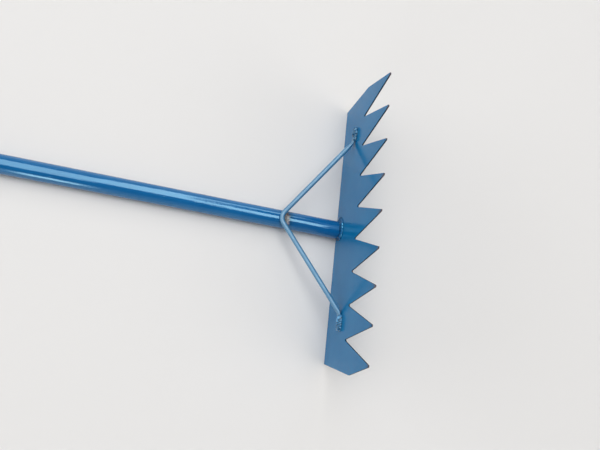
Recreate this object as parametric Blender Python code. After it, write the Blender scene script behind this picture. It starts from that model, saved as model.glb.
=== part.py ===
"""Garden rake made of welded steel: a tube handle, an upright toothed blade and a bent brace rod.

The rake lies as it rests on the ground, with its teeth up. The world origin is the middle of the
blade's base edge. The blade runs along Y, its teeth point to +Z, and the handle leaves the blade
towards -X. Left means +Y, as seen from the handle. The pieces hang under one empty, in whose space
the blade's handle-side face is the plane x = 0 and the ground is the plane z = 0.
"""
import math

import bmesh
import bpy
from mathutils import Vector

# Toothed blade, cut from one strip of sheet steel
BLADE_WIDTH = 0.400
BLADE_HEIGHT = 0.1755
BLADE_THICKNESS = 0.002
TOOTH_COUNT = 9
TOOTH_DEPTH = 0.0866
TIP_FLAT = 0.0025
TIP_TO_BLADE_END = 0.0188
END_TIP_DROP = 0.004
NOTCH_ROOT_RADIUS = 0.0012
LEFT_SHOULDER_HEIGHT = 0.0940
RIGHT_SHOULDER_HEIGHT = 0.1095
BLADE_EDGE_BREAK = 0.0002

# Handle tube, lying on the ground and turned a little out of square with the blade
HANDLE_LENGTH = 1.220
HANDLE_DIAMETER = 0.0269
HANDLE_WALL = 0.0023
HANDLE_TURN = math.radians(2.5)
HANDLE_END_CHAMFER = 0.0004

# Plastic plug pushed into the far end of the handle
PLUG_HEAD_THICKNESS = 0.003
PLUG_HEAD_UNDERSIZE = 0.0004
PLUG_HEAD_ROUNDING = 0.0014
PLUG_SHANK_LENGTH = 0.019
PLUG_SHANK_WALL = 0.0016
PLUG_FIN_COUNT = 4
PLUG_FIN_HEIGHT = 0.0012
PLUG_FIN_PITCH = 0.0042
PLUG_FIRST_FIN = 0.0029

# Brace rod, bent over the top of the handle, with its two feet along the blade
ROD_DIAMETER = 0.008
ROD_CORNER_FROM_BLADE = 0.0963
ROD_BEND_RADIUS = 0.014
FOOT_HEIGHT = 0.061
FOOT_LENGTH = 0.023
FOOT_TO_BLADE_END = 0.050
FOOT_BEND_RADIUS = 0.018

# Weld round the tube's end
HANDLE_WELD_LEG = 0.0056
HANDLE_WELD_OPEN_ANGLE = math.radians(82)
HANDLE_WELD_RIPPLES = 17
HANDLE_WELD_RIDGE = 0.00028
HANDLE_WELD_ROUNDNESS = 1.4

# Tack under the brace's bend
TOP_WELD_LEG = 0.0052
TOP_WELD_CROWN = 0.0007
TOP_WELD_HALF_LENGTH = 0.0078
TOP_WELD_ROOT_LEAN = math.radians(72)
TOP_WELD_LAP_LEAN = math.radians(8)
TOP_WELD_RIPPLES = 4
TOP_WELD_RIDGE = 0.0003

# Woven welds over the brace's feet
FOOT_WELD_RISE = 0.0082
FOOT_WELD_CROWN = 0.0014
FOOT_WELD_INTO_BEND = 0.0055
FOOT_WELD_ROOT_LEAN = math.radians(6)
FOOT_WELD_LAP_LEAN = math.radians(130)
FOOT_WELD_RIPPLES = 5
FOOT_WELD_RIDGE = 0.00045
FOOT_WELD_SLANT = math.radians(150)

# What all the weld beads share
BEAD_END_SHARE = 0.12
BEAD_END_POWER = 6
RIPPLE_BOW = math.radians(110)
RIPPLE_DRIFT = 0.03
RIPPLE_DRIFT_RATE = 7

# Space left between pieces that touch on the real tool
SEAT_GAP = 0.0003

# Facets
HANDLE_FACETS = 64
PLUG_FACETS = 40
PLUG_RIM_STEP = math.radians(18)
BEND_STEP = math.radians(6)
ROOT_STEP = math.radians(40)
ROD_BEVEL_RESOLUTION = 6
HANDLE_WELD_SECTIONS = 102
TOP_WELD_SECTIONS = 36
FOOT_WELD_SECTIONS = 56
SHARP_ANGLE = math.radians(35)
BLADE_SHARP_ANGLE = math.radians(20)
BEAD_SHARP_ANGLE = math.radians(65)
EDGE_BREAK_ANGLE = math.radians(60)
SAME_PLACE = 1e-6
CROWN_SETTLING_ROUNDS = 6

HANDLE_RADIUS = HANDLE_DIAMETER / 2
BORE_RADIUS = HANDLE_RADIUS - HANDLE_WALL
ROD_RADIUS = ROD_DIAMETER / 2
UP = Vector((0, 0, 1))


def clear_scene():
    """Remove whatever the file opened with."""
    for item in list(bpy.data.objects):
        bpy.data.objects.remove(item, do_unlink=True)


def make_material(name, colour, roughness, metallic=0.0, coat=0.0):
    """A plain Principled surface."""
    material = bpy.data.materials.new(name)
    material.use_nodes = True
    shader = material.node_tree.nodes["Principled BSDF"]
    shader.inputs["Base Color"].default_value = (*colour, 1.0)
    shader.inputs["Roughness"].default_value = roughness
    shader.inputs["Metallic"].default_value = metallic
    shader.inputs["Coat Weight"].default_value = coat
    material.diffuse_color = (*colour, 1.0)
    return material


def add_object(name, data, material, parent):
    """Link an object, give it its material and hang it under its parent."""
    item = bpy.data.objects.new(name, data)
    bpy.context.scene.collection.objects.link(item)
    data.materials.append(material)
    item.parent = parent
    return item


def add_solid(name, bm, material, parent, sharp_angle=SHARP_ANGLE):
    """Turn a finished bmesh into an object with its faces pointing out."""
    bmesh.ops.recalc_face_normals(bm, faces=bm.faces)
    mesh = bpy.data.meshes.new(name)
    bm.to_mesh(mesh)
    bm.free()
    mesh.shade_smooth()
    mesh.set_sharp_from_angle(angle=sharp_angle)
    return add_object(name, mesh, material, parent)


def add_empty(name, location=(0, 0, 0), turn=0.0, parent=None):
    """A guide that carries other objects."""
    empty = bpy.data.objects.new(name, None)
    bpy.context.scene.collection.objects.link(empty)
    empty.location = location
    empty.rotation_euler = (0, 0, turn)
    empty.parent = parent
    return empty


def loft(rings):
    """Skin a row of equal rings of points and close both ends."""
    bm = bmesh.new()
    rows = [[bm.verts.new(point) for point in ring] for ring in rings]
    count = len(rings[0])
    for near, far in zip(rows, rows[1:]):
        for k in range(count):
            bm.faces.new((near[k], near[(k + 1) % count], far[(k + 1) % count], far[k]))
    bm.faces.new(rows[0])
    bm.faces.new(rows[-1])
    return bm


def revolve(profile, facets, closed):
    """Spin a profile of (distance along the axis, radius) points about the X axis."""
    bm = bmesh.new()
    row = [bm.verts.new((along, 0, radius)) for along, radius in profile]
    edges = [bm.edges.new(pair) for pair in zip(row, row[1:])]
    if closed:
        edges.append(bm.edges.new((row[-1], row[0])))
    bmesh.ops.spin(bm, geom=row + edges, cent=(0, 0, 0), axis=(1, 0, 0),
                   angle=2 * math.pi, steps=facets, use_merge=True)
    bmesh.ops.remove_doubles(bm, verts=bm.verts, dist=SAME_PLACE)
    return bm


def steps(start, end, pieces):
    """Evenly spaced values from start to end, both included."""
    return [start + (end - start) * k / pieces for k in range(pieces + 1)]


def arc_points(centre, radius, start, end, step):
    """Points (x, y) on an arc, ends included."""
    angles = steps(start, end, max(2, math.ceil(abs(end - start) / step)))
    return [(centre[0] + radius * math.cos(a), centre[1] + radius * math.sin(a)) for a in angles]


def make_bend(before, corner, after, radius):
    """The arc that rounds a corner: its centre, first radius, first heading and turn."""
    inward = (before - corner).normalized()
    outward = (after - corner).normalized()
    turn = math.pi - inward.angle(outward)
    centre = corner + (inward + outward).normalized() * radius / math.cos(turn / 2)
    first_radius = corner + inward * radius * math.tan(turn / 2) - centre
    return centre, first_radius, -inward, turn


def on_bend(bend, angle):
    """Place and heading at an angle round a bend."""
    centre, first_radius, first_heading, _ = bend
    sideways = first_heading * first_radius.length
    place = centre + first_radius * math.cos(angle) + sideways * math.sin(angle)
    heading = sideways * math.cos(angle) - first_radius * math.sin(angle)
    return place, heading.normalized()


def bend_points(bend):
    """Places along a bend, ends included."""
    turn = bend[-1]
    return [on_bend(bend, angle)[0] for angle in steps(0, turn, max(2, math.ceil(turn / BEND_STEP)))]


# Handle

def handle_direction():
    """Unit vector along the handle, away from the blade."""
    return Vector((-math.cos(HANDLE_TURN), math.sin(HANDLE_TURN), 0))


def handle_side():
    """Unit vector to the handle's left."""
    return Vector((math.sin(HANDLE_TURN), math.cos(HANDLE_TURN), 0))


def handle_start():
    """Distance from the blade's plane to the square-cut tube end, where its nearer side seats."""
    return SEAT_GAP / math.cos(HANDLE_TURN) + HANDLE_RADIUS * math.tan(HANDLE_TURN)


def build_handle_tube(material, handle_axis):
    """A plain round tube with broken end edges."""
    near = -handle_start()
    far = near - HANDLE_LENGTH
    chamfer = HANDLE_END_CHAMFER
    profile = [
        (near - chamfer, HANDLE_RADIUS),
        (far + chamfer, HANDLE_RADIUS),
        (far, HANDLE_RADIUS - chamfer),
        (far, BORE_RADIUS + chamfer),
        (far + chamfer, BORE_RADIUS),
        (near - chamfer, BORE_RADIUS),
        (near, BORE_RADIUS + chamfer),
        (near, HANDLE_RADIUS - chamfer),
    ]
    add_solid("handle_tube", revolve(profile, HANDLE_FACETS, closed=True), material, handle_axis)


def build_handle_plug(material, handle_axis):
    """A push-in plug: a flat head with a rounded rim and a hollow shank with sprung fins."""
    seat = -(handle_start() + HANDLE_LENGTH + SEAT_GAP)
    outer_face = seat - PLUG_HEAD_THICKNESS
    head_radius = HANDLE_RADIUS - PLUG_HEAD_UNDERSIZE
    fin_radius = BORE_RADIUS - SEAT_GAP
    shank_radius = fin_radius - PLUG_FIN_HEIGHT
    rim_centre = (outer_face + PLUG_HEAD_ROUNDING, head_radius - PLUG_HEAD_ROUNDING)
    rim = arc_points(rim_centre, PLUG_HEAD_ROUNDING, math.pi, math.pi / 2, PLUG_RIM_STEP)
    profile = [(outer_face, 0.0), *rim, (seat, head_radius), (seat, shank_radius)]
    for k in range(PLUG_FIN_COUNT):
        fin_base = seat + PLUG_FIRST_FIN + PLUG_FIN_PITCH * k
        profile += [
            (fin_base, shank_radius),
            (fin_base - PLUG_FIN_HEIGHT / 2, fin_radius),
            (fin_base + PLUG_FIN_HEIGHT / 2, shank_radius),
        ]
    shank_end = seat + PLUG_SHANK_LENGTH
    hollow_radius = shank_radius - PLUG_SHANK_WALL
    profile += [(shank_end, shank_radius), (shank_end, hollow_radius), (seat, hollow_radius), (seat, 0.0)]
    add_solid("handle_end_plug", revolve(profile, PLUG_FACETS, closed=False), material, handle_axis)


# Blade

def tooth_tips():
    """(y, z) of each tooth tip, left to right; the row is crowned, so the end tips stand lower."""
    half_row = BLADE_WIDTH / 2 - TIP_TO_BLADE_END
    places = [half_row * (1 - 2 * k / (TOOTH_COUNT - 1)) for k in range(TOOTH_COUNT)]
    return [(y, BLADE_HEIGHT - END_TIP_DROP * (y / half_row) ** 2) for y in places]


def flank_lean(half_gap, rise):
    """Angle from the vertical of the flank that runs from a tip and touches the root's circle."""
    return math.atan2(half_gap, rise) - math.asin(NOTCH_ROOT_RADIUS / math.hypot(half_gap, rise))


def notch_root(left_tip, right_tip):
    """(y, z) points round the bottom of the notch between two teeth; the notches follow the crowned row."""
    middle = (left_tip[0] + right_tip[0]) / 2
    height = (left_tip[1] + right_tip[1]) / 2 - TOOTH_DEPTH + NOTCH_ROOT_RADIUS
    half_gap = (left_tip[0] - right_tip[0] - TIP_FLAT) / 2
    left_lean = flank_lean(half_gap, left_tip[1] - height)
    right_lean = flank_lean(half_gap, right_tip[1] - height)
    return arc_points((middle, height), NOTCH_ROOT_RADIUS, -left_lean, right_lean - math.pi, ROOT_STEP)


def blade_outline():
    """(y, z) points round the blade, from the left base corner over the teeth to the right one."""
    tips = tooth_tips()
    half_width = BLADE_WIDTH / 2
    outline = [(half_width, 0.0), (half_width, LEFT_SHOULDER_HEIGHT)]
    for k, (y, z) in enumerate(tips):
        outline += [(y + TIP_FLAT / 2, z), (y - TIP_FLAT / 2, z)]
        if k + 1 < len(tips):
            outline += notch_root(tips[k], tips[k + 1])
    outline += [(-half_width, RIGHT_SHOULDER_HEIGHT), (-half_width, 0.0)]
    return outline


def build_blade(material, parent):
    """The outline pushed through the sheet's thickness, with its cut edges broken."""
    bm = bmesh.new()
    face = bm.faces.new([bm.verts.new((0.0, y, z)) for y, z in blade_outline()])
    pushed = bmesh.ops.extrude_face_region(bm, geom=[face])
    moved = [item for item in pushed["geom"] if isinstance(item, bmesh.types.BMVert)]
    bmesh.ops.translate(bm, verts=moved, vec=(BLADE_THICKNESS, 0, 0))
    blade = add_solid("toothed_blade", bm, material, parent, BLADE_SHARP_ANGLE)
    bevel = blade.modifiers.new("broken edges", "BEVEL")
    bevel.width = BLADE_EDGE_BREAK
    bevel.segments = 1
    bevel.limit_method = "ANGLE"
    bevel.angle_limit = EDGE_BREAK_ANGLE


# Brace

def foot_points(side):
    """A foot's end and the corner where it meets the arm; side is 1 on the left, -1 on the right."""
    foot_x = -(ROD_RADIUS + SEAT_GAP)
    end_y = BLADE_WIDTH / 2 - FOOT_TO_BLADE_END
    end = Vector((foot_x, side * end_y, FOOT_HEIGHT))
    corner = Vector((foot_x, side * (end_y - FOOT_LENGTH), FOOT_HEIGHT))
    return end, corner


def crown_bend():
    """The brace's bend over the handle.

    Its corner is lowered or raised until the rod just rides on the tube's top.
    """
    crown_height = HANDLE_DIAMETER + SEAT_GAP + ROD_RADIUS
    corner = handle_direction() * ROD_CORNER_FROM_BLADE + UP * crown_height
    for _ in range(CROWN_SETTLING_ROUNDS):
        bend = make_bend(foot_points(1)[1], corner, foot_points(-1)[1], ROD_BEND_RADIUS)
        corner.z += crown_height - min(place.z for place in bend_points(bend))
    return make_bend(foot_points(1)[1], corner, foot_points(-1)[1], ROD_BEND_RADIUS)


def foot_bend(side):
    """The brace's bend from a foot into its arm."""
    end, corner = foot_points(side)
    crown = crown_bend()
    arm_end = on_bend(crown, 0.0 if side > 0 else crown[-1])[0]
    return make_bend(end, corner, arm_end, FOOT_BEND_RADIUS)


def build_brace_rod(material, parent):
    """A round bar from the left foot over the handle to the right foot."""
    path = [foot_points(1)[0]]
    path += bend_points(foot_bend(1))
    path += bend_points(crown_bend())
    path += reversed(bend_points(foot_bend(-1)))
    path.append(foot_points(-1)[0])
    curve = bpy.data.curves.new("brace_rod", "CURVE")
    curve.dimensions = "3D"
    curve.bevel_depth = ROD_RADIUS
    curve.bevel_resolution = ROD_BEVEL_RESOLUTION
    curve.use_fill_caps = True
    spline = curve.splines.new("POLY")
    spline.points.add(len(path) - 1)
    for point, place in zip(spline.points, path):
        point.co = (*place, 1.0)
    add_object("brace_rod", curve, material, parent)


# Welds

def bead_size(position):
    """Share of a bead's full size: full along the middle, rounded off at the ends, -1 and 1."""
    return max(BEAD_END_SHARE, math.sqrt(1 - abs(position) ** BEAD_END_POWER))


def packed_to_ends(sections):
    """Positions from -1 to 1, closer together towards both ends, where a bead's size changes fast."""
    return [-math.cos(angle) for angle in steps(0, math.pi, sections)]


def ripple(position, count, lag=0.0):
    """Height, -1 to 1, of ridges laid by hand along a bead, so a little unevenly spaced."""
    drifted = position + RIPPLE_DRIFT * math.sin(RIPPLE_DRIFT_RATE * position)
    return math.sin(math.pi * count * drifted + lag)


def build_handle_weld(material, parent):
    """A fillet round the tube's end, open under the tube, where the blade's base edge is.

    Each section lies in the plane of the handle's axis and one radius. Its corner is where the
    tube meets the blade, one leg runs along the tube and the other up the blade.
    """
    along = handle_direction()
    seat_radius = HANDLE_RADIUS + SEAT_GAP
    half_sweep = math.pi - HANDLE_WELD_OPEN_ANGLE / 2
    power = HANDLE_WELD_ROUNDNESS
    rings = []
    for position in steps(-1, 1, HANDLE_WELD_SECTIONS):
        angle = math.pi / 2 + half_sweep * position
        radial = handle_side() * math.cos(angle) + UP * math.sin(angle)
        in_blade = radial + along * (radial.x / math.cos(HANDLE_TURN))
        start = (SEAT_GAP + seat_radius * radial.x) / math.cos(HANDLE_TURN)
        corner = UP * HANDLE_RADIUS + along * start + radial * seat_radius
        size = bead_size(position)
        ring = [corner]
        for lean in steps(0, math.pi / 2, 6):
            reach = HANDLE_WELD_LEG * (math.cos(lean) ** power + math.sin(lean) ** power) ** (-1 / power)
            lag = RIPPLE_BOW * math.sin(2 * lean)
            reach += HANDLE_WELD_RIDGE * ripple(position, HANDLE_WELD_RIPPLES, lag)
            ring.append(corner + (in_blade * math.cos(lean) + along * math.sin(lean)) * reach * size)
        rings.append(ring)
    add_solid("handle_weld", loft(rings), material, parent, BEAD_SHARP_ANGLE)


def on_handle(place):
    """The same place, lowered or raised to the space left round the handle."""
    side = place.dot(handle_side())
    height = HANDLE_RADIUS + math.sqrt((HANDLE_RADIUS + SEAT_GAP) ** 2 - side ** 2)
    return Vector((place.x, place.y, height))


def build_top_weld(material, parent):
    """A tack in the crook between the brace's bend and the handle under it, on the blade's side.

    Each section lies square to the rod. It follows the rod up from its underside, then comes down
    to a toe on the handle.
    """
    bend = crown_bend()
    middle_angle = bend[-1] / 2
    half_sweep = TOP_WELD_HALF_LENGTH / ROD_BEND_RADIUS
    seat_radius = ROD_RADIUS + SEAT_GAP
    rings = []
    for position in packed_to_ends(TOP_WELD_SECTIONS):
        place, heading = on_bend(bend, middle_angle + half_sweep * position)
        inward = (bend[0] - place).normalized()
        down = inward.cross(heading)
        if down.z > 0:
            down = -down
        size = bead_size(position)
        lap_lean = TOP_WELD_ROOT_LEAN + (TOP_WELD_LAP_LEAN - TOP_WELD_ROOT_LEAN) * size
        rod_side = [
            place + (inward * math.cos(lean) + down * math.sin(lean)) * seat_radius
            for lean in steps(TOP_WELD_ROOT_LEAN, lap_lean, 5)
        ]
        root = rod_side[0]
        lap = rod_side[-1]
        ridge = TOP_WELD_RIDGE * ripple(position, TOP_WELD_RIPPLES, RIPPLE_BOW)
        toe = on_handle(root + inward * (TOP_WELD_LEG + ridge) * size)
        outward = (inward - down).normalized() * (TOP_WELD_CROWN + ridge) * size
        shares = steps(0, 1, 5)[1:-1]
        crown = [lap.lerp(toe, share) + outward * math.sin(math.pi * share) for share in shares]
        under = [on_handle(toe.lerp(root, share)) for share in steps(0, 1, 4)]
        rings.append(rod_side + crown + under)
    add_solid("brace_top_weld", loft(rings), material, parent, BEAD_SHARP_ANGLE)


def build_foot_weld(name, side, material, parent):
    """A woven bead along a foot, from a little way round its bend to its end.

    Each section lies square to the rod. It starts in the crook between the rod and the blade,
    follows the rod over its top and comes back in a low crown to a toe on the blade.
    """
    end = foot_points(side)[0]
    bend = foot_bend(side)
    bend_start, foot_heading = on_bend(bend, 0.0)
    straight = (end - bend_start).length
    seat_radius = ROD_RADIUS + SEAT_GAP
    rings = []
    for position in packed_to_ends(FOOT_WELD_SECTIONS):
        travel = (straight + FOOT_WELD_INTO_BEND) * (position + 1) / 2 - FOOT_WELD_INTO_BEND
        if travel < 0:
            place, heading = on_bend(bend, -travel / FOOT_BEND_RADIUS)
        else:
            place, heading = bend_start - foot_heading * travel, foot_heading
        to_blade = (Vector((1, 0, 0)) - heading * heading.x).normalized()
        rise = to_blade.cross(heading)
        if rise.z < 0:
            rise = -rise
        distance = -(SEAT_GAP + place.x) / to_blade.x
        size = bead_size(position)
        root_lean = math.acos(min(1.0, distance / seat_radius)) + FOOT_WELD_ROOT_LEAN
        root_rise = seat_radius * math.sin(root_lean)
        lap_ridge = FOOT_WELD_RIDGE * ripple(position, FOOT_WELD_RIPPLES, FOOT_WELD_SLANT)
        toe_ridge = FOOT_WELD_RIDGE * ripple(position, FOOT_WELD_RIPPLES)
        lap_lean = root_lean + (FOOT_WELD_LAP_LEAN + lap_ridge / seat_radius - root_lean) * size
        toe_rise = root_rise + (FOOT_WELD_RISE + toe_ridge - root_rise) * size
        rod_side = [
            place + (to_blade * math.cos(lean) + rise * math.sin(lean)) * seat_radius
            for lean in steps(root_lean, lap_lean, 7)
        ]
        lap = rod_side[-1]
        toe = place + to_blade * distance + rise * toe_rise
        outward = (toe - lap).cross(heading).normalized()
        if outward.z < 0:
            outward = -outward
        crown = []
        for share in steps(0, 1, 8)[1:]:
            ridge = FOOT_WELD_RIDGE * ripple(position, FOOT_WELD_RIPPLES, FOOT_WELD_SLANT * (1 - share))
            swell = (FOOT_WELD_CROWN + ridge) * size * math.sin(math.pi * share)
            crown.append(lap.lerp(toe, share) + outward * swell)
        rings.append(rod_side + crown + [place + to_blade * distance + rise * root_rise])
    add_solid(name, loft(rings), material, parent, BEAD_SHARP_ANGLE)


def main():
    """Build the rake."""
    clear_scene()
    blue_paint = make_material("blue gloss paint on the tube", (0.008, 0.125, 0.300), 0.22, coat=0.6)
    blade_paint = make_material("blue gloss paint on the blade", (0.010, 0.110, 0.220), 0.20, coat=0.6)
    rod_paint = make_material("blue gloss paint on the rod", (0.012, 0.150, 0.340), 0.25, coat=0.6)
    bead_paint = make_material("blue gloss paint on the welds", (0.014, 0.120, 0.290), 0.30, coat=0.4)
    burnt_steel = make_material("burnt paint on the top weld", (0.110, 0.060, 0.050), 0.60, 0.2)
    black_plastic = make_material("black plastic", (0.012, 0.012, 0.013), 0.45)

    rake = add_empty("rake", (-BLADE_THICKNESS / 2, 0, 0))
    handle_axis = add_empty("handle_axis", (0, 0, HANDLE_RADIUS), -HANDLE_TURN, rake)
    build_handle_tube(blue_paint, handle_axis)
    build_handle_plug(black_plastic, handle_axis)
    build_blade(blade_paint, rake)
    build_brace_rod(rod_paint, rake)
    build_handle_weld(bead_paint, rake)
    build_top_weld(burnt_steel, rake)
    build_foot_weld("left_foot_weld", 1, bead_paint, rake)
    build_foot_weld("right_foot_weld", -1, bead_paint, rake)


main()
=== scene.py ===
import math

import bmesh
import bpy
import numpy as np
from mathutils import Matrix, Vector


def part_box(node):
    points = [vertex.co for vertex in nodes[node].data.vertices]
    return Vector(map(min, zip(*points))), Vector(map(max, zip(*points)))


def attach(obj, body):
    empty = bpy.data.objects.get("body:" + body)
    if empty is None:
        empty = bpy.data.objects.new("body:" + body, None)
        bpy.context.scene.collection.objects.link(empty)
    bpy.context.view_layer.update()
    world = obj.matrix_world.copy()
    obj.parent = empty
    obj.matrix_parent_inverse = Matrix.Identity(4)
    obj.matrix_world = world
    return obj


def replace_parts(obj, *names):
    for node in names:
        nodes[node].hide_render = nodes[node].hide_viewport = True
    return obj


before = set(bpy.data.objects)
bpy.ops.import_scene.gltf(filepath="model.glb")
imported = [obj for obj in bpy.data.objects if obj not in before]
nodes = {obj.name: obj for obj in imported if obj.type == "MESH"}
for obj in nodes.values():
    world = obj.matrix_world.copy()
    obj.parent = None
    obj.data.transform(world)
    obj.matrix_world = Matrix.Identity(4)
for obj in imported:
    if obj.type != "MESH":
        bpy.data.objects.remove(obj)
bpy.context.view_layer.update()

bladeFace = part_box("toothed_blade")[0].x  # the blade's handle-side face is this plane across X
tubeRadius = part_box("handle_tube")[1].z / 2
handleTurn = math.radians(2.5)  # the handle's turn out of square, as in the CAD
handleAway = np.array([-math.cos(handleTurn), math.sin(handleTurn), 0.0])
handleSide = np.array([math.sin(handleTurn), math.cos(handleTurn), 0.0])
upward = np.array([0.0, 0.0, 1.0])
print("frame loaded:", ", ".join(sorted(nodes)))

cameraValues = {
    "place": (-0.2041, -0.1329, 0.6776),
    "lookAcross": (0.2099, 0.1967),  # slopes of the view's middle line from straight down, along X and Y
    "roll": 0.1484,
    "focalShare": 459.5 / 600,  # focal length as a share of the picture's width
    "sensorWidth": 36,
    "nearest": 0.01,
}


# The view's right, down and forward directions, worked out from two slopes and a roll.
def makeCamera(values):
    forward = Vector((math.tan(values["lookAcross"][0]), math.tan(values["lookAcross"][1]), -1)).normalized()
    right = Vector((math.cos(values["roll"]), math.sin(values["roll"]), 0))
    right = (right - forward * right.dot(forward)).normalized()
    down = forward.cross(right)
    data = bpy.data.cameras.new("photo camera")
    data.sensor_width = values["sensorWidth"]
    data.lens = data.sensor_width * values["focalShare"]
    data.clip_start = values["nearest"]
    camera = bpy.data.objects.new("photo camera", data)
    turn = Matrix((right, -down, -forward)).transposed()
    camera.matrix_world = Matrix.Translation(values["place"]) @ turn.to_4x4()
    bpy.context.scene.collection.objects.link(camera)
    bpy.context.scene.camera = camera


makeCamera(cameraValues)
print("camera placed")


# Adds a shader node; a value in inputs is either a number or colour, or the output that feeds the socket.
def addNode(tree, kind, inputs=None, **settings):
    node = tree.nodes.new(kind)
    for name, value in settings.items():
        setattr(node, name, value)
    for name, value in (inputs or {}).items():
        if isinstance(value, bpy.types.NodeSocket):
            tree.links.new(value, node.inputs[name])
        else:
            node.inputs[name].default_value = value
    return node


def noise(tree, coords, scale, detail, roughness, distortion=0.0):
    inputs = {"Vector": coords, "Scale": scale, "Detail": detail, "Roughness": roughness, "Distortion": distortion}
    return addNode(tree, "ShaderNodeTexNoise", inputs).outputs["Fac"]


def spread(tree, value, low, high, newLow=0.0, newHigh=1.0):
    inputs = {"Value": value, "From Min": low, "From Max": high, "To Min": newLow, "To Max": newHigh}
    return addNode(tree, "ShaderNodeMapRange", inputs).outputs["Result"]


def maths(tree, operation, first, second=0.0):
    return addNode(tree, "ShaderNodeMath", {0: first, 1: second}, operation=operation).outputs[0]


def mixColour(tree, share, first, second):
    node = addNode(tree, "ShaderNodeMix", {"Factor": share}, data_type="RGBA")
    for place, value in ((6, first), (7, second)):
        if isinstance(value, bpy.types.NodeSocket):
            tree.links.new(value, node.inputs[place])
        else:
            node.inputs[place].default_value = value
    return node.outputs[2]


def stretched(tree, coords, scale, turn):
    return addNode(tree, "ShaderNodeMapping", {"Vector": coords, "Scale": scale, "Rotation": turn}).outputs["Vector"]


def bump(tree, height, strength, distance, normal=None):
    inputs = {"Height": height, "Strength": strength, "Distance": distance}
    if normal is not None:
        inputs["Normal"] = normal
    return addNode(tree, "ShaderNodeBump", inputs).outputs["Normal"]


def startMaterial(name):
    material = bpy.data.materials.new(name)
    material.use_nodes = True
    tree = material.node_tree
    tree.nodes.clear()
    output = addNode(tree, "ShaderNodeOutputMaterial")
    shader = addNode(tree, "ShaderNodeBsdfPrincipled")
    tree.links.new(shader.outputs[0], output.inputs["Surface"])
    coords = addNode(tree, "ShaderNodeTexCoord").outputs["Object"]
    return material, tree, shader, coords


paintValues = {
    "tube": {
        "colour": (0.0015, 0.094, 0.280), "paleColour": (0.004, 0.120, 0.332),
        "roughness": 0.075, "peel": 0.12, "waves": 0.30, "scuffs": 0.8, "ior": 1.90,
        "specularTint": (0.50, 0.87, 1.0, 1),
    },
    "blade": {
        # the blade wears the tube's enamel; its lighter blue is painted light on the upright sheet
        "colour": (0.0018, 0.135, 0.325), "paleColour": (0.006, 0.160, 0.360),
        "roughness": 0.16, "peel": 0.05, "waves": 0.12, "scuffs": 0.35, "ior": 1.25,
        "specularTint": (0.30, 0.80, 1.0, 1),
    },
    "rod": {
        # the rod wears the tube's enamel; its paler blue is a painted sheen standing in for the bar's broad reflection
        "colour": (0.0480, 0.185, 0.340), "paleColour": (0.070, 0.225, 0.380),
        "roughness": 0.38, "peel": 0.16, "waves": 0.25, "scuffs": 0.55, "ior": 2.0,
        "specularTint": (0.85, 0.97, 1.0, 1),
    },
    "footWeld": {
        "colour": (0.0060, 0.100, 0.250), "paleColour": (0.020, 0.140, 0.310),
        "roughness": 0.13, "peel": 0.35, "waves": 0.30, "scuffs": 0.20, "ior": 1.8,
        "specularTint": (0.60, 0.90, 1.0, 1),
    },
    "handleWeld": {
        "colour": (0.0020, 0.080, 0.230), "paleColour": (0.006, 0.110, 0.290),
        "roughness": 0.10, "peel": 0.35, "waves": 0.30, "scuffs": 0.20, "ior": 1.55,
        "specularTint": (0.30, 0.85, 1.0, 1),
    },
}
# What all the enamels share. A scale is a noise's waves per metre, a span is where that noise starts and stops to show,
# and a depth is a bump's height.
enamelValues = {
    "clouds": {"scale": 16, "span": (0.35, 0.75)},
    "speckle": {"scale": 320, "span": (0.56, 0.72), "share": 0.35},
    "scratches": {
        "turns": ((0, 0, 0.35), (0.9, 0.4, -0.8)), "stretch": (60, 1900, 1900), "span": (0.66, 0.78),
        "patchScale": 28, "patchSpan": (0.50, 0.66), "colour": (0.10, 0.26, 0.42), "share": 0.45, "dullness": 0.25,
    },
    "sheen": {"scale": 90, "span": (0.3, 0.7), "from": 0.8, "to": 1.3},
    "peel": {"scale": 650, "depth": 0.0004},
    "waves": {"scale": 45, "depth": 0.0008},
    "nibs": {"scale": 210.0, "span": (0.10, 0.22), "without": 0.86, "strength": 0.35, "depth": 0.0003},
}


# A soft mask round one place: 1 inside an egg of the given half sizes, 0 outside it, its rim broken by noise.
def eggMask(tree, coords, centre, halfSizes, ragged, soft):
    moved = addNode(tree, "ShaderNodeVectorMath", {0: coords, 1: centre}, operation="SUBTRACT").outputs["Vector"]
    scaled = addNode(tree, "ShaderNodeVectorMath", {0: moved, 1: halfSizes}, operation="DIVIDE").outputs["Vector"]
    reach = addNode(tree, "ShaderNodeVectorMath", {0: scaled}, operation="LENGTH").outputs["Value"]
    rim = spread(tree, noise(tree, coords, scorchValues["rimScale"], 4, 0.65), 0.3, 0.7, -ragged, ragged)
    return spread(tree, maths(tree, "ADD", reach, rim), 1 - soft, 1 + soft, 1, 0)


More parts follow.
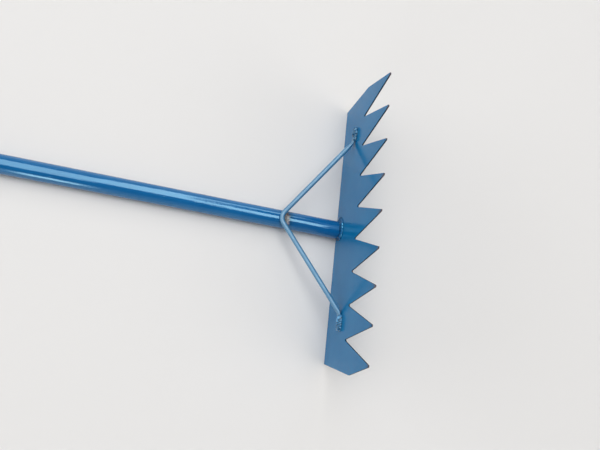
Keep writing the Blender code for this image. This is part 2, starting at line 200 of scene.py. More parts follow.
# Gloss enamel over steel. The colour drifts between two blues in soft clouds, fine scratches run in two directions,
# and the bump adds orange peel, a slow waviness and a few dust nibs. Each patch is a function that takes the tree,
# the coordinates, the colour, the roughness and the normal, and gives back the last three with its marks added.
def paintedSteel(name, values, patches=()):
    material, tree, shader, coords = startMaterial(name)
    clouds, speckle, scratches, sheen, peel, waves, nibs = enamelValues.values()
    deep, pale = (*values["colour"], 1), (*values["paleColour"], 1)
    cloudy = spread(tree, noise(tree, coords, clouds["scale"], 3, 0.6), *clouds["span"])
    colour = mixColour(tree, cloudy, deep, pale)
    speckled = spread(tree, noise(tree, coords, speckle["scale"], 3, 0.6), *speckle["span"], 0, speckle["share"])
    colour = mixColour(tree, speckled, colour, pale)

    # scratches: noise stretched hard along one direction, kept where it peaks and where a coarse noise allows it
    allowed = spread(tree, noise(tree, coords, scratches["patchScale"], 2, 0.5), *scratches["patchSpan"])
    lines = None
    for turn in scratches["turns"]:
        lengthwise = stretched(tree, coords, scratches["stretch"], turn)
        streaks = spread(tree, noise(tree, lengthwise, 1, 1, 0.4), *scratches["span"])
        lines = streaks if lines is None else maths(tree, "MAXIMUM", lines, streaks)
    scuffed = maths(tree, "MULTIPLY", maths(tree, "MULTIPLY", lines, allowed), values["scuffs"])
    marked = maths(tree, "MULTIPLY", scuffed, scratches["share"])
    colour = mixColour(tree, marked, colour, (*scratches["colour"], 1))
    smooth, dull = values["roughness"] * sheen["from"], values["roughness"] * sheen["to"]
    roughness = spread(tree, noise(tree, coords, sheen["scale"], 3, 0.6), *sheen["span"], smooth, dull)
    roughness = maths(tree, "ADD", roughness, maths(tree, "MULTIPLY", scuffed, scratches["dullness"]))

    normal = bump(tree, noise(tree, coords, peel["scale"], 2, 0.5), values["peel"], peel["depth"])
    normal = bump(tree, noise(tree, coords, waves["scale"], 1, 0.4), values["waves"], waves["depth"], normal)
    cells = addNode(tree, "ShaderNodeTexVoronoi", {"Vector": coords, "Scale": nibs["scale"]})
    nib = spread(tree, cells.outputs["Distance"], *nibs["span"], 1, 0)
    lottery = addNode(tree, "ShaderNodeSeparateColor", {"Color": cells.outputs["Color"]}).outputs[0]
    few = maths(tree, "MULTIPLY", nib, maths(tree, "GREATER_THAN", lottery, nibs["without"]))
    normal = bump(tree, few, nibs["strength"], nibs["depth"], normal)
    for patch in patches:
        colour, roughness, normal = patch(tree, coords, colour, roughness, normal)
    tree.links.new(colour, shader.inputs["Base Color"])
    tree.links.new(roughness, shader.inputs["Roughness"])
    tree.links.new(normal, shader.inputs["Normal"])
    shader.inputs["Specular Tint"].default_value = values["specularTint"]
    shader.inputs["IOR"].default_value = values["ior"]
    return material


def setMaterial(item, material):
    item.data.materials.clear()
    item.data.materials.append(material)


scorchValues = {
    "centre": (-0.0857, 0.0030, 0.0262),
    "burnt": {"halfSizes": (0.0038, 0.0108, 0.0090), "ragged": 0.55, "soft": 0.2},
    "halo": {"halfSizes": (0.0080, 0.0150, 0.0120), "ragged": 0.25, "soft": 0.5},
    "rimScale": 420,
    "rust": (0.150, 0.060, 0.030), "ash": (0.42, 0.39, 0.36), "rose": (0.34, 0.26, 0.27),
    # where along Y the colours meet, and how far noise shifts that
    "rustFrom": (0.0060, 0.0095), "roseFrom": (-0.0045, -0.0005), "drift": 0.003, "driftScale": 260,
    "grime": (0.10, 0.07, 0.055), "grimeScale": 520, "grimeSpan": (0.46, 0.60), "grimeShare": 0.85,
    "soot": (0.006, 0.030, 0.060), "sootShare": 0.7,
    "crustScale": 900, "crustStrength": 0.7, "crustDepth": 0.0005, "roughness": 0.7, "addedRoughness": 0.55,
}


# Colour across a scorch mark: rust at its left end, ash in the middle and rose at the right, wandering with noise.
def scorchColour(tree, coords, values):
    along = addNode(tree, "ShaderNodeSeparateXYZ", {"Vector": coords}).outputs["Y"]
    shift = spread(tree, noise(tree, coords, values["driftScale"], 3, 0.7), 0.3, 0.7, -values["drift"], values["drift"])
    along = maths(tree, "ADD", along, shift)
    colour = mixColour(tree, spread(tree, along, *values["roseFrom"]), (*values["rose"], 1), (*values["ash"], 1))
    colour = mixColour(tree, spread(tree, along, *values["rustFrom"]), colour, (*values["rust"], 1))
    grimy = noise(tree, coords, values["grimeScale"], 4, 0.75)
    grimy = spread(tree, grimy, *values["grimeSpan"], 0, values["grimeShare"])
    return mixColour(tree, grimy, colour, (*values["grime"], 1))


# The burnt place on the tube beside the tack: dark soot round it, bare scale and ash within it.
def scorchedPaint(tree, coords, colour, roughness, normal):
    values = scorchValues
    halo = eggMask(tree, coords, values["centre"], **values["halo"])
    burnt = eggMask(tree, coords, values["centre"], **values["burnt"])
    colour = mixColour(tree, maths(tree, "MULTIPLY", halo, values["sootShare"]), colour, (*values["soot"], 1))
    colour = mixColour(tree, burnt, colour, scorchColour(tree, coords, values))
    roughness = maths(tree, "ADD", roughness, maths(tree, "MULTIPLY", burnt, values["addedRoughness"]))
    crust = maths(tree, "MULTIPLY", noise(tree, coords, values["crustScale"], 4, 0.6), burnt)
    return colour, roughness, bump(tree, crust, values["crustStrength"], values["crustDepth"], normal)


wrinkleValues = {
    "from": -0.235, "to": -0.118, "fade": 0.02, "stretch": (520, 190, 190), "turn": (0, 0, 0.9),
    "strength": 0.5, "depth": 0.00035,
}


# Slanting wrinkles in the paint along one stretch of the tube, where it was handled before it had dried.
def wrinkledPaint(tree, coords, colour, roughness, normal):
    values = wrinkleValues
    along = addNode(tree, "ShaderNodeSeparateXYZ", {"Vector": coords}).outputs["X"]
    begun = spread(tree, along, values["from"], values["from"] + values["fade"])
    unfinished = spread(tree, along, values["to"] - values["fade"], values["to"], 1, 0)
    inside = maths(tree, "MULTIPLY", begun, unfinished)
    lines = noise(tree, stretched(tree, coords, values["stretch"], values["turn"]), 1, 2, 0.5, 0.4)
    height = maths(tree, "MULTIPLY", lines, inside)
    return colour, roughness, bump(tree, height, values["strength"], values["depth"], normal)


edgeValues = {
    "turnedAway": (0.5, 0.7),  # a normal's X is below the first on an edge and above the last on the sheet's faces
    "bareSteelAndShade": (0.0030, 0.0120, 0.0230), "rust": (0.110, 0.040, 0.020), "rubbed": (0.085, 0.075, 0.085),
    "tips": (0.162, 0.174), "tipsWear": (0.42, 0.55), "rubbedShare": 0.55,
    "wearScale": 130, "rustWear": (0.58, 0.66), "rustShare": 0.7, "addedRoughness": 0.35,
}


# The sheet's cut edges, which the paint hardly covers: nearly black, partly bare steel and partly painted shade, with
# rust at the tips and in patches.
def bareAndShadedEdges(tree, coords, colour, roughness, normal):
    values = edgeValues
    facing = addNode(tree, "ShaderNodeTexCoord").outputs["Normal"]
    across = maths(tree, "ABSOLUTE", addNode(tree, "ShaderNodeSeparateXYZ", {"Vector": facing}).outputs["X"])
    edge = spread(tree, across, *values["turnedAway"], 1, 0)
    height = addNode(tree, "ShaderNodeSeparateXYZ", {"Vector": coords}).outputs["Z"]
    wear = noise(tree, coords, values["wearScale"], 4, 0.65)
    tips = maths(tree, "MULTIPLY", spread(tree, height, *values["tips"]), spread(tree, wear, *values["tipsWear"]))
    rusty = maths(tree, "MAXIMUM", spread(tree, wear, *values["rustWear"], 0, values["rustShare"]), tips)
    # the nearly black edge colour is bare steel and painted shade together
    edgeColour = mixColour(tree, rusty, (*values["bareSteelAndShade"], 1), (*values["rust"], 1))
    colour = mixColour(tree, edge, colour, edgeColour)
    onFace = maths(tree, "MULTIPLY", tips, values["rubbedShare"])
    colour = mixColour(tree, onFace, colour, (*values["rubbed"], 1))
    roughness = maths(tree, "ADD", roughness, maths(tree, "MULTIPLY", edge, values["addedRoughness"]))
    return colour, roughness, normal


# Painted shade in the valleys and a painted highlight on the crests: the first height on a ripple is where the painted
# shade stops, the second where the painted highlight starts.
weldShadingValues = {
    "leftFoot": {
        "valleyShade": (0.0008, 0.020, 0.055), "valleyShadeTo": 0.70,
        "crest": (0.085, 0.220, 0.370), "highlightFrom": 0.66, "share": 0.8,
    },
    "rightFoot": {
        "valleyShade": (0.0008, 0.026, 0.075), "valleyShadeTo": 0.55,
        "crest": (0.120, 0.360, 0.640), "highlightFrom": 0.55, "share": 0.9,
    },
    "handleWeld": {
        "valleyShade": (0.0008, 0.045, 0.140), "valleyShadeTo": 0.02,
        "crest": (0.180, 0.640, 0.950), "highlightFrom": 0.45, "share": 1.0,
    },
}


# Enamel over a laid weld, with painted shade darkening the valleys between the ripples and a painted highlight paling
# their crests.
def weldShadeAndHighlight(values):
    def addTo(tree, coords, colour, roughness, normal):
        crest = addNode(tree, "ShaderNodeAttribute", attribute_name="crest").outputs["Fac"]
        # painted shade: the valley colour where a ripple stands low
        outOfShade = spread(tree, crest, 0.0, values["valleyShadeTo"])
        colour = mixColour(tree, outOfShade, (*values["valleyShade"], 1), colour)
        # painted highlight: the crest colour where a ripple stands high
        highlighted = spread(tree, crest, values["highlightFrom"], 1.0, 0, values["share"])
        colour = mixColour(tree, highlighted, colour, (*values["crest"], 1))
        return colour, roughness, normal
    return addTo


tubePaint = paintedSteel("tube enamel", paintValues["tube"], (wrinkledPaint, scorchedPaint))
bladePaint = paintedSteel("blade enamel", paintValues["blade"], (bareAndShadedEdges,))
rodPaint = paintedSteel("rod enamel", paintValues["rod"])
# Each weld enamel darkens its ripples' valleys as painted shade and pales their crests as a painted highlight.
leftFootPaint = paintedSteel("left foot weld enamel", paintValues["footWeld"], (weldShadeAndHighlight(weldShadingValues["leftFoot"]),))
rightFootPaint = paintedSteel("right foot weld enamel", paintValues["footWeld"], (weldShadeAndHighlight(weldShadingValues["rightFoot"]),))
handleWeldPaint = paintedSteel("handle weld enamel", paintValues["handleWeld"], (weldShadeAndHighlight(weldShadingValues["handleWeld"]),))
setMaterial(nodes["toothed_blade"], bladePaint)


# Scorched paint and scale on the tack itself, in the same run of colours as on the tube beside it.
def burntSteel(name, values):
    material, tree, shader, coords = startMaterial(name)
    tree.links.new(scorchColour(tree, coords, values), shader.inputs["Base Color"])
    shader.inputs["Roughness"].default_value = values["roughness"]
    crust = noise(tree, coords, values["crustScale"], 4, 0.6)
    tree.links.new(bump(tree, crust, values["crustStrength"], values["crustDepth"]), shader.inputs["Normal"])
    return material


setMaterial(nodes["brace_top_weld"], burntSteel("scorched tack", scorchValues))

plugValues = {
    "colour": (0.012, 0.012, 0.013), "paleColour": (0.02, 0.02, 0.021), "roughness": 0.42,
    "grainScale": 1500, "grainStrength": 0.25, "grainDepth": 0.0001, "sheenScale": 120, "sheenRange": (0.85, 1.2),
}


# Moulded plastic: nearly black, a fine grain in its bump and a slightly uneven sheen.
def mouldedPlastic(name, values):
    material, tree, shader, coords = startMaterial(name)
    grain = noise(tree, coords, values["grainScale"], 2, 0.5)
    colour = mixColour(tree, spread(tree, grain, 0.4, 0.7), (*values["colour"], 1), (*values["paleColour"], 1))
    tree.links.new(colour, shader.inputs["Base Color"])
    smooth, dull = (values["roughness"] * share for share in values["sheenRange"])
    roughness = spread(tree, noise(tree, coords, values["sheenScale"], 3, 0.6), 0.3, 0.7, smooth, dull)
    tree.links.new(roughness, shader.inputs["Roughness"])
    normal = bump(tree, grain, values["grainStrength"], values["grainDepth"])
    tree.links.new(normal, shader.inputs["Normal"])
    return material


setMaterial(nodes["handle_end_plug"], mouldedPlastic("black plastic", plugValues))
print("materials made")

# Closes a row of equal rings of points into one skin, with both ends capped; rings is sections x points x 3. Crest is
# how high each point stands on its ripple, from 0 to 1; the material paints shade and highlight from it.
def loftPiece(name, rings, material, sharpAngle, crest=None):
    sections, points = rings.shape[:2]
    near = np.arange(sections - 1)[:, None] * points
    first = np.arange(points)[None, :]
    after = (first + 1) % points
    sides = np.stack([near + first, near + after, near + points + after, near + points + first], axis=-1)
    start = list(range(points))
    faces = sides.reshape(-1, 4).tolist() + [start[::-1], [place + (sections - 1) * points for place in start]]
    mesh = bpy.data.meshes.new(name)
    mesh.from_pydata(rings.reshape(-1, 3).tolist(), [], faces)
    if crest is not None:
        mesh.attributes.new("crest", "FLOAT", "POINT").data.foreach_set("value", crest.ravel())
    return finishPiece(name, mesh, material, sharpAngle)


# Turns every face outward, smooths all but the sharp edges and hands the object to the frame.
def finishPiece(name, mesh, material, sharpAngle):
    shell = bmesh.new()
    shell.from_mesh(mesh)
    bmesh.ops.recalc_face_normals(shell, faces=shell.faces)
    shell.to_mesh(mesh)
    shell.free()
    mesh.shade_smooth()
    mesh.set_sharp_from_angle(angle=sharpAngle)
    mesh.materials.append(material)
    item = bpy.data.objects.new(name, mesh)
    bpy.context.scene.collection.objects.link(item)
    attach(item, "root")
    return item


def unit(vectors):
    return vectors / np.linalg.norm(vectors, axis=-1, keepdims=True)


# Faces of a grid of points; a wrapped direction joins its last row or column to its first.
def gridFaces(rows, columns, wrapRows, wrapColumns):
    row = np.arange(rows if wrapRows else rows - 1)[:, None]
    column = np.arange(columns if wrapColumns else columns - 1)[None, :]
    nextRow, nextColumn = (row + 1) % rows, (column + 1) % columns
    here, beyond = row * columns, nextRow * columns
    corners = [here + column, here + nextColumn, beyond + nextColumn, beyond + column]
    return np.stack(corners, axis=-1).reshape(-1, 4).tolist()


tubeValues = {
    "wall": 0.0023, "start": 0.0008875, "length": 1.22, "chamfer": 0.0004, "around": 112,
    "sharpAngle": math.radians(30),
    # stretches along the tube: from, to and how many rings of points
    "spans": ((0.0, 0.112, 80), (0.112, 0.240, 215), (0.240, 0.540, 110), (0.540, 1.22, 34)),
    "wrinkleFrom": 0.118, "wrinkleTo": 0.235, "wrinkleFade": 0.016,
    "wrinklePitch": 0.0030, "wrinkleSlant": 0.9, "crossPitch": 1.4, "crossSlant": 0.5, "wrinkleDepth": 0.000040,
    "waveDepth": 0.000016, "smoothAtWeld": 0.004, "groundFade": 10,
}


# Slanting wrinkles along one stretch, where the tube was handled before its paint had dried, and slow waves all over:
# sines of the distance along the tube and round it, their phase and depth wandering with slower sines. They fade to
# nothing along the line that the tube rests on.
def tubeSurface(along, angle, values):
    girth = angle * tubeRadius
    fade, pitch = values["wrinkleFade"], values["wrinklePitch"]
    begun, unfinished = (along - values["wrinkleFrom"]) / fade, (values["wrinkleTo"] - along) / fade
    inside = np.clip(begun, 0, 1) * np.clip(unfinished, 0, 1)
    wander = 1.3 * np.sin(along * 310 + 2 * np.sin(angle * 3)) + 1.1 * np.sin(angle * 5 + along * 140)
    slanted = np.sin(2 * math.pi * (along + values["wrinkleSlant"] * girth) / pitch + wander)
    crossed = np.sin(2 * math.pi * (along - values["crossSlant"] * girth) / (pitch * values["crossPitch"]) - wander)
    depth = 0.65 + 0.35 * np.sin(along * 190 + angle * 4)
    wrinkles = values["wrinkleDepth"] * inside * depth * (slanted + 0.5 * crossed)
    waves = np.sin(along * 95 + 1.4 * np.sin(angle * 2)) + np.sin(along * 37 + angle * 3 + 1)
    offGround = np.clip((1 + np.cos(angle)) * values["groundFade"], 0, 1)
    return (wrinkles + values["waveDepth"] * waves) * offGround


# The tube: its outside, both chamfered ends and its bore make one closed profile, turned once round its axis.
def makeTube(values, material):
    stations = np.unique(np.concatenate([np.linspace(low, high, count) for low, high, count in values["spans"]]))
    length, chamfer = values["length"], values["chamfer"]
    outside = stations[(stations > chamfer * 2) & (stations < length - chamfer * 2)]
    bore = tubeRadius - values["wall"]
    outside = np.concatenate([[chamfer], outside, [length - chamfer]])
    along = np.concatenate([outside, [length, length, length - chamfer, chamfer, 0.0, 0.0]])
    inner = [tubeRadius - chamfer, bore + chamfer, bore, bore, bore + chamfer, tubeRadius - chamfer]
    radius = np.concatenate([np.full(outside.size, tubeRadius), inner])
    angle = np.linspace(0, 2 * math.pi, values["around"], endpoint=False)[:, None]
    isOutside = np.arange(along.size) < outside.size
    pastWeld = np.clip((along - chamfer) / values["smoothAtWeld"], 0, 1)
    radius = radius + tubeSurface(along[None, :], angle, values) * (isOutside * pastWeld)
    radial = handleSide * np.sin(angle) + upward * np.cos(angle)
    centre = np.array([bladeFace, 0.0, tubeRadius]) + handleAway * (along[:, None] + values["start"])
    points = centre[None, :, :] + radial[:, None, :] * radius[:, :, None]
    mesh = bpy.data.meshes.new("smooth_tube")
    mesh.from_pydata(points.reshape(-1, 3).tolist(), [], gridFaces(values["around"], along.size, True, True))
    return finishPiece("smooth_tube", mesh, material, values["sharpAngle"])


rodValues = {
    "radius": 0.0035, "around": 44, "chamfer": 0.0005, "step": 0.0024, "bendStep": 0.0006,
    "sharpAngle": math.radians(30),
    # the feet are hammered flat: half sizes across the blade and up it, and where along Y the round bar turns flat
    "flatHalf": (0.0020, 0.0045), "flatFrom": 0.117, "flatTo": 0.129,
    # place from the blade's face, with the bend's radius last
    "corners": (
        (-0.0023, 0.151, 0.0530, 0), (-0.0023, 0.12859, 0.0530, 0.013), (-0.09639, 0.00401, 0.02955, 0.014),
        (-0.0023, -0.12390, 0.0575, 0.012), (-0.0023, -0.1485, 0.0575, 0),
    ),
    "apex": 2,  # the corner over the handle
}


# Points and headings along a line whose corners are rounded: each corner gives its place and its bend's radius, and the
# arc starts and ends where its circle touches the two straights.
def roundedPath(corners, step, bendStep):
    places, headings = [], []
    spots = np.array([corner[:3] for corner in corners])
    before = spots[0]
    for number in range(1, len(corners)):
        heading = unit(spots[number] - spots[number - 1])
        radius = corners[number][3]
        reach = 0.0
        if radius:
            leaving = unit(spots[number + 1] - spots[number])
            turn = math.acos(heading @ leaving)
            reach = radius * math.tan(turn / 2)
        after = spots[number] - heading * reach
        count = max(2, round(np.linalg.norm(after - before) / step))
        share = np.linspace(0, 1, count, endpoint=not radius)[:, None]
        places.append(before + (after - before) * share)
        headings.append(np.repeat(heading[None, :], share.size, axis=0))
        if radius:
            inward = unit(leaving - heading * (heading @ leaving))
            bend = np.linspace(0, turn, max(6, round(turn * radius / bendStep)), endpoint=False)[:, None]
            places.append(after + radius * (heading * np.sin(bend) + inward * (1 - np.cos(bend))))
            headings.append(heading * np.cos(bend) + inward * np.sin(bend))
            before = spots[number] + leaving * reach
    return np.concatenate(places), np.concatenate(headings)


# The brace: a round section swept along its bent path, which turns into a flat oval along each foot, with a chamfer at
# each sawn end.
def makeRod(values, material):
    place, heading = roundedPath(values["corners"], values["step"], values["bendStep"])
    place[:, 0] += bladeFace
    chamfer = values["chamfer"]
    trimmed = place[:1] + heading[:1] * chamfer, place[-1:] - heading[-1:] * chamfer
    place = np.concatenate([place[:1], trimmed[0], place[1:-1], trimmed[1], place[-1:]])
    heading = np.concatenate([heading[:1], heading, heading[-1:]])
    side = unit(np.cross(heading, upward))
    lift = np.cross(side, heading)
    flat = np.clip((np.abs(place[:, 1]) - values["flatFrom"]) / (values["flatTo"] - values["flatFrom"]), 0, 1)
    flat = flat * flat * (3 - 2 * flat)
    trim = np.zeros(len(place))
    trim[[0, -1]] = chamfer
    halfWidth, halfHeight = (values["radius"] + (half - values["radius"]) * flat - trim for half in values["flatHalf"])
    angle = np.linspace(0, 2 * math.pi, values["around"], endpoint=False)[None, :, None]
    wide, high = (side * halfWidth[:, None])[:, None, :], (lift * halfHeight[:, None])[:, None, :]
    rings = place[:, None, :] + wide * np.cos(angle) + high * np.sin(angle)
    return loftPiece("smooth_rod", rings, material, values["sharpAngle"])


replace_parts(makeTube(tubeValues, tubePaint), "handle_tube")
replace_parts(makeRod(rodValues, rodPaint), "brace_rod")
print("tube and rod made")


# One laid ripple after another: each is a rounded back that ends in a sharp valley, 0 in the valley and 1 on its crest.
# Their heights differ a little, by a sum of two slow waves over the ripple's number.
def rippleHeight(phase, roundness, unevenness):
    within = phase - np.floor(phase)
    number = np.floor(phase)
    tall = 1 + unevenness * (np.sin(number * 2.3 + 0.6) + np.sin(number * 5.1)) / 2
    return (1 - np.abs(2 * within - 1) ** roundness) * tall


# A bell round one place, 1 at its top; a higher even power makes it flatter there and steeper at its sides.
def hump(where, place, width, power):
    return np.exp(-(((where - place) / width) ** power))


# A bead is full along its middle and rounded off at both ends, -1 and 1.
def beadSize(position, endShare, power):
    return np.maximum(endShare, np.sqrt(np.clip(1 - np.abs(position) ** power, 0, 1)))


# What the three beads share: their gap to what they sit on, their ends' shape and their ripples' roundness.
beadValues = {
    "gap": 0.0003, "endShare": 0.12, "endPower": 6, "sharpAngle": math.radians(75), "roundness": 2.6,
}
handleBeadValues = {
    "openAngle": math.radians(82), "bladeLeg": 0.0054, "tubeLeg": 0.0025, "power": 1.8,
    # where the bead was built up or ground back: how far round from its top, how wide, and how much further it reaches
    "built": (
        (math.radians(35), math.radians(30), 0.0014), (math.radians(-28), math.radians(18), 0.0026),
        (math.radians(-95), math.radians(44), -0.0042),
    ),
    # where the painted highlight on the ripples' crests shows: how far round from the top and across the section, and
    # how wide each way
    "highlightAt": (math.radians(-3), math.radians(18)), "highlightWidth": (math.radians(42), math.radians(15)),
    "ripples": 13, "bow": 0.55, "ridge": 0.0011, "unevenness": 0.45, "sections": 460, "leans": 18,
}


# The fillet round the tube's end. Each section lies in the plane of the tube's axis and one radius: its corner is where
# tube and blade meet, one leg runs along the tube, the other up the blade, and a superellipse joins them.
# The ripples bow back from the middle of the section, as crescents do, and raise the surface between the legs.
def makeHandleBead(values, shared, material):
    position = np.linspace(-1, 1, values["sections"])
    angle = math.pi / 2 + (math.pi - values["openAngle"] / 2) * position
    radial = np.cos(angle)[:, None] * handleSide + np.sin(angle)[:, None] * upward
    inBlade = radial + handleAway * (radial[:, :1] / math.cos(handleTurn))
    seatRadius = tubeRadius + shared["gap"]
    start = (shared["gap"] + seatRadius * radial[:, :1]) / math.cos(handleTurn)
    corner = upward * tubeRadius + handleAway * start + radial * seatRadius
    corner[:, 0] += bladeFace
    lean = np.linspace(0, math.pi / 2, values["leans"])
    power = values["power"]
    oval = (np.cos(lean) ** power + np.sin(lean) ** power) ** (-1 / power)
    wander = 0.35 * np.sin(position * 7) + 0.2 * np.sin(position * 17 + 1)
    phase = values["ripples"] * (position[:, None] + 1) / 2 + values["bow"] * np.sin(2 * lean) + wander[:, None]
    crest = rippleHeight(phase, shared["roundness"], values["unevenness"])
    height = values["ridge"] * crest
    fromTop = math.pi / 2 - angle
    built = sum(reach * hump(fromTop, place, width, 2) for place, width, reach in values["built"])[:, None]
    swell = 1 + 0.07 * np.sin(position * 11 + 2) + 0.05 * np.sin(position * 23)
    size = (beadSize(position, shared["endShare"], shared["endPower"]) * swell)[:, None]
    bladeReach = ((values["bladeLeg"] + built + height) * oval * np.cos(lean) * size)[:, :, None]
    tubeReach = ((values["tubeLeg"] + height) * oval * np.sin(lean) * size)[:, :, None]
    skin = corner[:, None, :] + inBlade[:, None, :] * bladeReach + handleAway * tubeReach
    rings = np.concatenate([corner[:, None, :], skin], axis=1)
    # the crests keep their painted highlight only in this band round the bead and across the section
    (highlightTurn, highlightLean), (turnWidth, leanWidth) = values["highlightAt"], values["highlightWidth"]
    crest = crest * (hump(fromTop, highlightTurn, turnWidth, 4)[:, None] * hump(lean, highlightLean, leanWidth, 2))
    crest = np.concatenate([crest[:, :1], crest], axis=1)
    return loftPiece("handle_bead", rings, material, shared["sharpAngle"], crest)


footBeadValues = {
    "sections": 260, "laps": 14, "crownPoints": 22, "crown": 0.0024,
    "rootLean": math.radians(6), "ridge": 0.0017, "unevenness": 0.6, "overEnd": 0.0003,
    # bellyPower rounds the crown's section; the knots come so often across a ripple and shift by a share at the next
    "bellyPower": 0.6, "knotsAcross": 1.6, "knotShift": 0.37,
}
# corner and end are places in the rod's list of corners: where its arm turns into the foot, and the foot's sawn end
footBeads = {
    "left_foot_bead": {
        "replaces": "left_foot_weld", "corner": 1, "end": 0, "paint": leftFootPaint, "intoBend": 0.0040,
        "rise": 0.0085, "ripples": 5.6, "slant": 1.0, "knots": 0.55, "lapLean": math.radians(168),
    },
    "right_foot_bead": {
        "replaces": "right_foot_weld", "corner": 3, "end": 4, "paint": rightFootPaint, "intoBend": 0.0020,
        "rise": 0.0086, "ripples": 3.8, "slant": -1.0, "knots": 0.2, "lapLean": math.radians(172),
    },
}


# A woven bead along one foot. Each section lies square to the rod: it starts in the crook between rod and blade,
# follows the flat foot over its top and comes back in a low crown to a toe on the blade. The ripples slant across it.
def makeFootBead(name, values, foot, shared, material):
    places = foot["corner"], rodValues["apex"], foot["end"]
    corner, apex, end = (np.array(rodValues["corners"][number]) for number in places)
    sign = math.copysign(1, corner[1])
    arm = apex[:3] - corner[:3]
    inward = unit(arm * [1, 0, 1])
    bendRadius = corner[3]
    bendAngle = math.atan2(np.linalg.norm(arm * [1, 0, 1]), abs(arm[1]))
    bendStart = abs(corner[1]) + bendRadius * math.tan(bendAngle / 2)
    position = -np.cos(np.linspace(0, math.pi, values["sections"]))
    straight = abs(end[1]) + values["overEnd"] - bendStart
    travel = (straight + foot["intoBend"]) * (position + 1) / 2 - foot["intoBend"]
    towardsArm = np.array([0.0, -sign, 0.0])
    begin = np.array([bladeFace + corner[0], sign * bendStart, corner[2]])
    turn = (np.maximum(-travel, 0) / bendRadius)[:, None]
    onBend = bendRadius * (inward * (1 - np.cos(turn)) + towardsArm * np.sin(turn))
    place = begin + onBend - towardsArm * np.maximum(travel, 0)[:, None]
    heading = towardsArm * np.cos(turn) + inward * np.sin(turn)
    toBlade = unit(np.array([1.0, 0.0, 0.0]) - heading * heading[:, :1])
    rise = np.cross(toBlade, heading)
    rise = rise * np.sign(rise[:, 2:])
    distance = (bladeFace - shared["gap"] - place[:, 0]) / toBlade[:, 0]
    size = beadSize(position, shared["endShare"], shared["endPower"])
    seatAcross, seatUp = rodValues["flatHalf"][0] + shared["gap"], rodValues["flatHalf"][1] + shared["gap"]
    rootLean = np.arccos(np.minimum(1, distance / seatAcross)) + values["rootLean"]
    rootRise = seatUp * np.sin(rootLean)

    along = foot["ripples"] * (position + 1) / 2 + 0.32 * np.sin(position * 6 + sign) + 0.14 * np.sin(position * 15)
    lapRidge = values["ridge"] * rippleHeight(along + foot["slant"], shared["roundness"], values["unevenness"])
    toeRidge = values["ridge"] * rippleHeight(along, shared["roundness"], values["unevenness"])
    lapLean = rootLean + (foot["lapLean"] + 0.5 * lapRidge / seatUp - rootLean) * size
    toeRise = rootRise + (foot["rise"] + 0.5 * toeRidge - rootRise) * size
    share = np.linspace(0, 1, values["laps"])[None, :]
    leans = (rootLean[:, None] + (lapLean - rootLean)[:, None] * share)[:, :, None]
    beside = toBlade[:, None, :] * np.cos(leans) * seatAcross
    rodSide = place[:, None, :] + beside + rise[:, None, :] * np.sin(leans) * seatUp
    lap = rodSide[:, -1, :]
    toe = place + toBlade * distance[:, None] + rise * toeRise[:, None]
    outward = unit(np.cross(toe - lap, heading))
    outward = outward * np.sign(outward[:, 2:])
    share = np.linspace(0, 1, values["crownPoints"])[1:]
    phase = along[:, None] + foot["slant"] * (1 - share)
    knot = 0.5 + 0.5 * np.sin(2 * math.pi * (values["knotsAcross"] * share + values["knotShift"] * np.floor(phase)))
    crownCrest = rippleHeight(phase, shared["roundness"], values["unevenness"])
    crownCrest = crownCrest * (1 - foot["knots"] * knot)
    ridge = values["ridge"] * crownCrest
    belly = np.sin(math.pi * share) ** values["bellyPower"]
    swell = ((values["crown"] + ridge) * size[:, None] * belly)[:, :, None]
    crown = lap[:, None, :] + (toe - lap)[:, None, :] * share[None, :, None] + outward[:, None, :] * swell
    root = (place + toBlade * distance[:, None] + rise * rootRise[:, None])[:, None, :]
    rings = np.concatenate([rodSide, crown, root], axis=1)
    lapCrest = np.repeat((lapRidge / values["ridge"])[:, None], values["laps"], axis=1)
    crest = np.concatenate([lapCrest, crownCrest, crownCrest[:, -1:]], axis=1)
    return loftPiece(name, rings, material, shared["sharpAngle"], crest)


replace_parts(makeHandleBead(handleBeadValues, beadValues, handleWeldPaint), "handle_weld")
for name, foot in footBeads.items():
    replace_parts(makeFootBead(name, footBeadValues, foot, beadValues, foot["paint"]), foot["replaces"])
print("weld beads made")

stageValues = {"floorColour": (0.68, 0.67, 0.66), "floorRoughness": 0.85, "floorSide": 9.0}
skyValues = {
    "top": (0.115, 0.118, 0.12, 1), "rim": (0.52, 0.53, 0.54, 1), "rimTop": 0.42, "rimFade": 0.60,
    "onSurfaces": (0.22, 0.22, 0.22, 1),
}
# Panels overhead lie in one level plane. Each gives how far it reaches across X and along Y, as slopes from straight
# up over the aim point.
panelHeight = 8.0
panelValues = {
    "near pane": {"across": (-0.15, 0.0), "along": (0.0, 1.85), "radiance": 4.2},
    "middle pane": {"across": (-0.28, -0.15), "along": (-0.05, 1.52), "radiance": 3.8},
    "far pane": {"across": (-0.60, -0.28), "along": (-0.26, 1.03), "radiance": 3.1},
    "right pane": {"across": (0.0, 0.32), "along": (-0.20, 0.36), "radiance": 4.6},
    "upper pane": {"across": (0.0, 0.45), "along": (1.10, 2.00), "radiance": 2.8},
}
lampDistance = 8.0
lampValues = {
    # direction is towards the lamp; size is across X, or across Y for a lamp that lies along X, and along its own up
    "corner": {"direction": (-0.365, -0.89, 0.25), "size": (1.0, 2.9), "radiance": 5.0},
    "west": {"direction": (-0.60, 0.10, 0.78), "size": (3.6, 6.0), "radiance": 0.6},
    "east": {"direction": (0.58, 0.10, 0.80), "size": (3.2, 7.2), "radiance": 0.6},
    "low east": {"direction": (0.80, -0.26, 0.50), "size": (5.5, 2.6), "radiance": 1.8},
    "low west": {"direction": (-0.92, 0.10, 0.30), "size": (6.5, 2.4), "radiance": 3.4},
}
aimPoint = Vector((-0.20, 0.0, 0.02))


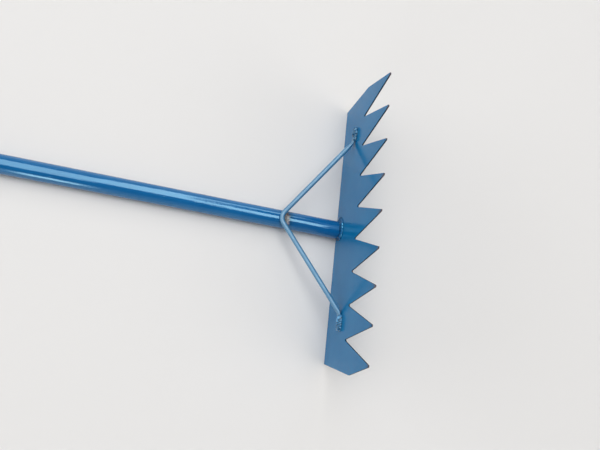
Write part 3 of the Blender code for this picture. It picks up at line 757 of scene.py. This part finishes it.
def makeFloor(values):
    half = values["floorSide"] / 2
    mesh = bpy.data.meshes.new("floor")
    mesh.from_pydata([(-half, -half, 0), (half, -half, 0), (half, half, 0), (-half, half, 0)], [], [(0, 1, 2, 3)])
    floor = bpy.data.objects.new("floor", mesh)
    bpy.context.scene.collection.objects.link(floor)
    material, tree, shader, coords = startMaterial("pale floor")
    shader.inputs["Base Color"].default_value = (*values["floorColour"], 1)
    shader.inputs["Roughness"].default_value = values["floorRoughness"]
    mesh.materials.append(material)


# An even rectangle of light; its power is its radiance times pi times its area.
def makeLamp(name, place, turn, size, radiance):
    data = bpy.data.lights.new(name, "AREA")
    data.shape = "RECTANGLE"
    data.size, data.size_y = size
    data.energy = radiance * math.pi * data.size * data.size_y
    lamp = bpy.data.objects.new(name, data)
    lamp.location = place
    lamp.rotation_euler = turn
    bpy.context.scene.collection.objects.link(lamp)


def makePanel(name, values):
    across, along = values["across"], values["along"]
    middle = Vector((across[0] + across[1], along[0] + along[1], 2)) / 2 * panelHeight
    size = ((across[1] - across[0]) * panelHeight, (along[1] - along[0]) * panelHeight)
    makeLamp(name, aimPoint + middle, (0, 0, 0), size, values["radiance"])


def makeAimedLamp(name, values):
    direction = Vector(values["direction"]).normalized()
    isAlongX = abs(direction.x) >= 0.8
    across = Vector((0, 1, 0)) if isAlongX else Vector((1, 0, 0))
    across = (across - direction * across.dot(direction)).normalized()
    turn = Matrix((across, direction.cross(across), direction)).transposed().to_euler()
    makeLamp(name, aimPoint + direction * lampDistance, turn, values["size"], values["radiance"])


# The sky is pale from below the horizon up to its rim height and dim overhead, where the lamps are. Only the camera and
# mirror rays see it so, and a dim even sky lights the surfaces.
def makeSky(values):
    world = bpy.data.worlds.new("sky")
    bpy.context.scene.world = world
    world.use_nodes = True
    tree = world.node_tree
    coords = addNode(tree, "ShaderNodeTexCoord").outputs["Generated"]
    height = addNode(tree, "ShaderNodeSeparateXYZ", {"Vector": coords}).outputs["Z"]
    share = spread(tree, height, values["rimTop"], values["rimFade"])
    shown = mixColour(tree, share, values["rim"], values["top"])
    path = addNode(tree, "ShaderNodeLightPath").outputs
    mirrored = maths(tree, "MAXIMUM", path["Is Glossy Ray"], path["Is Transmission Ray"])
    seen = maths(tree, "MAXIMUM", path["Is Camera Ray"], mirrored)
    tree.links.new(mixColour(tree, seen, values["onSurfaces"], shown), tree.nodes["Background"].inputs["Color"])


makeFloor(stageValues)
makeSky(skyValues)
for name, values in panelValues.items():
    makePanel(name, values)
for name, values in lampValues.items():
    makeAimedLamp(name, values)
bpy.context.scene.view_settings.view_transform = "Standard"
print("floor and light set")
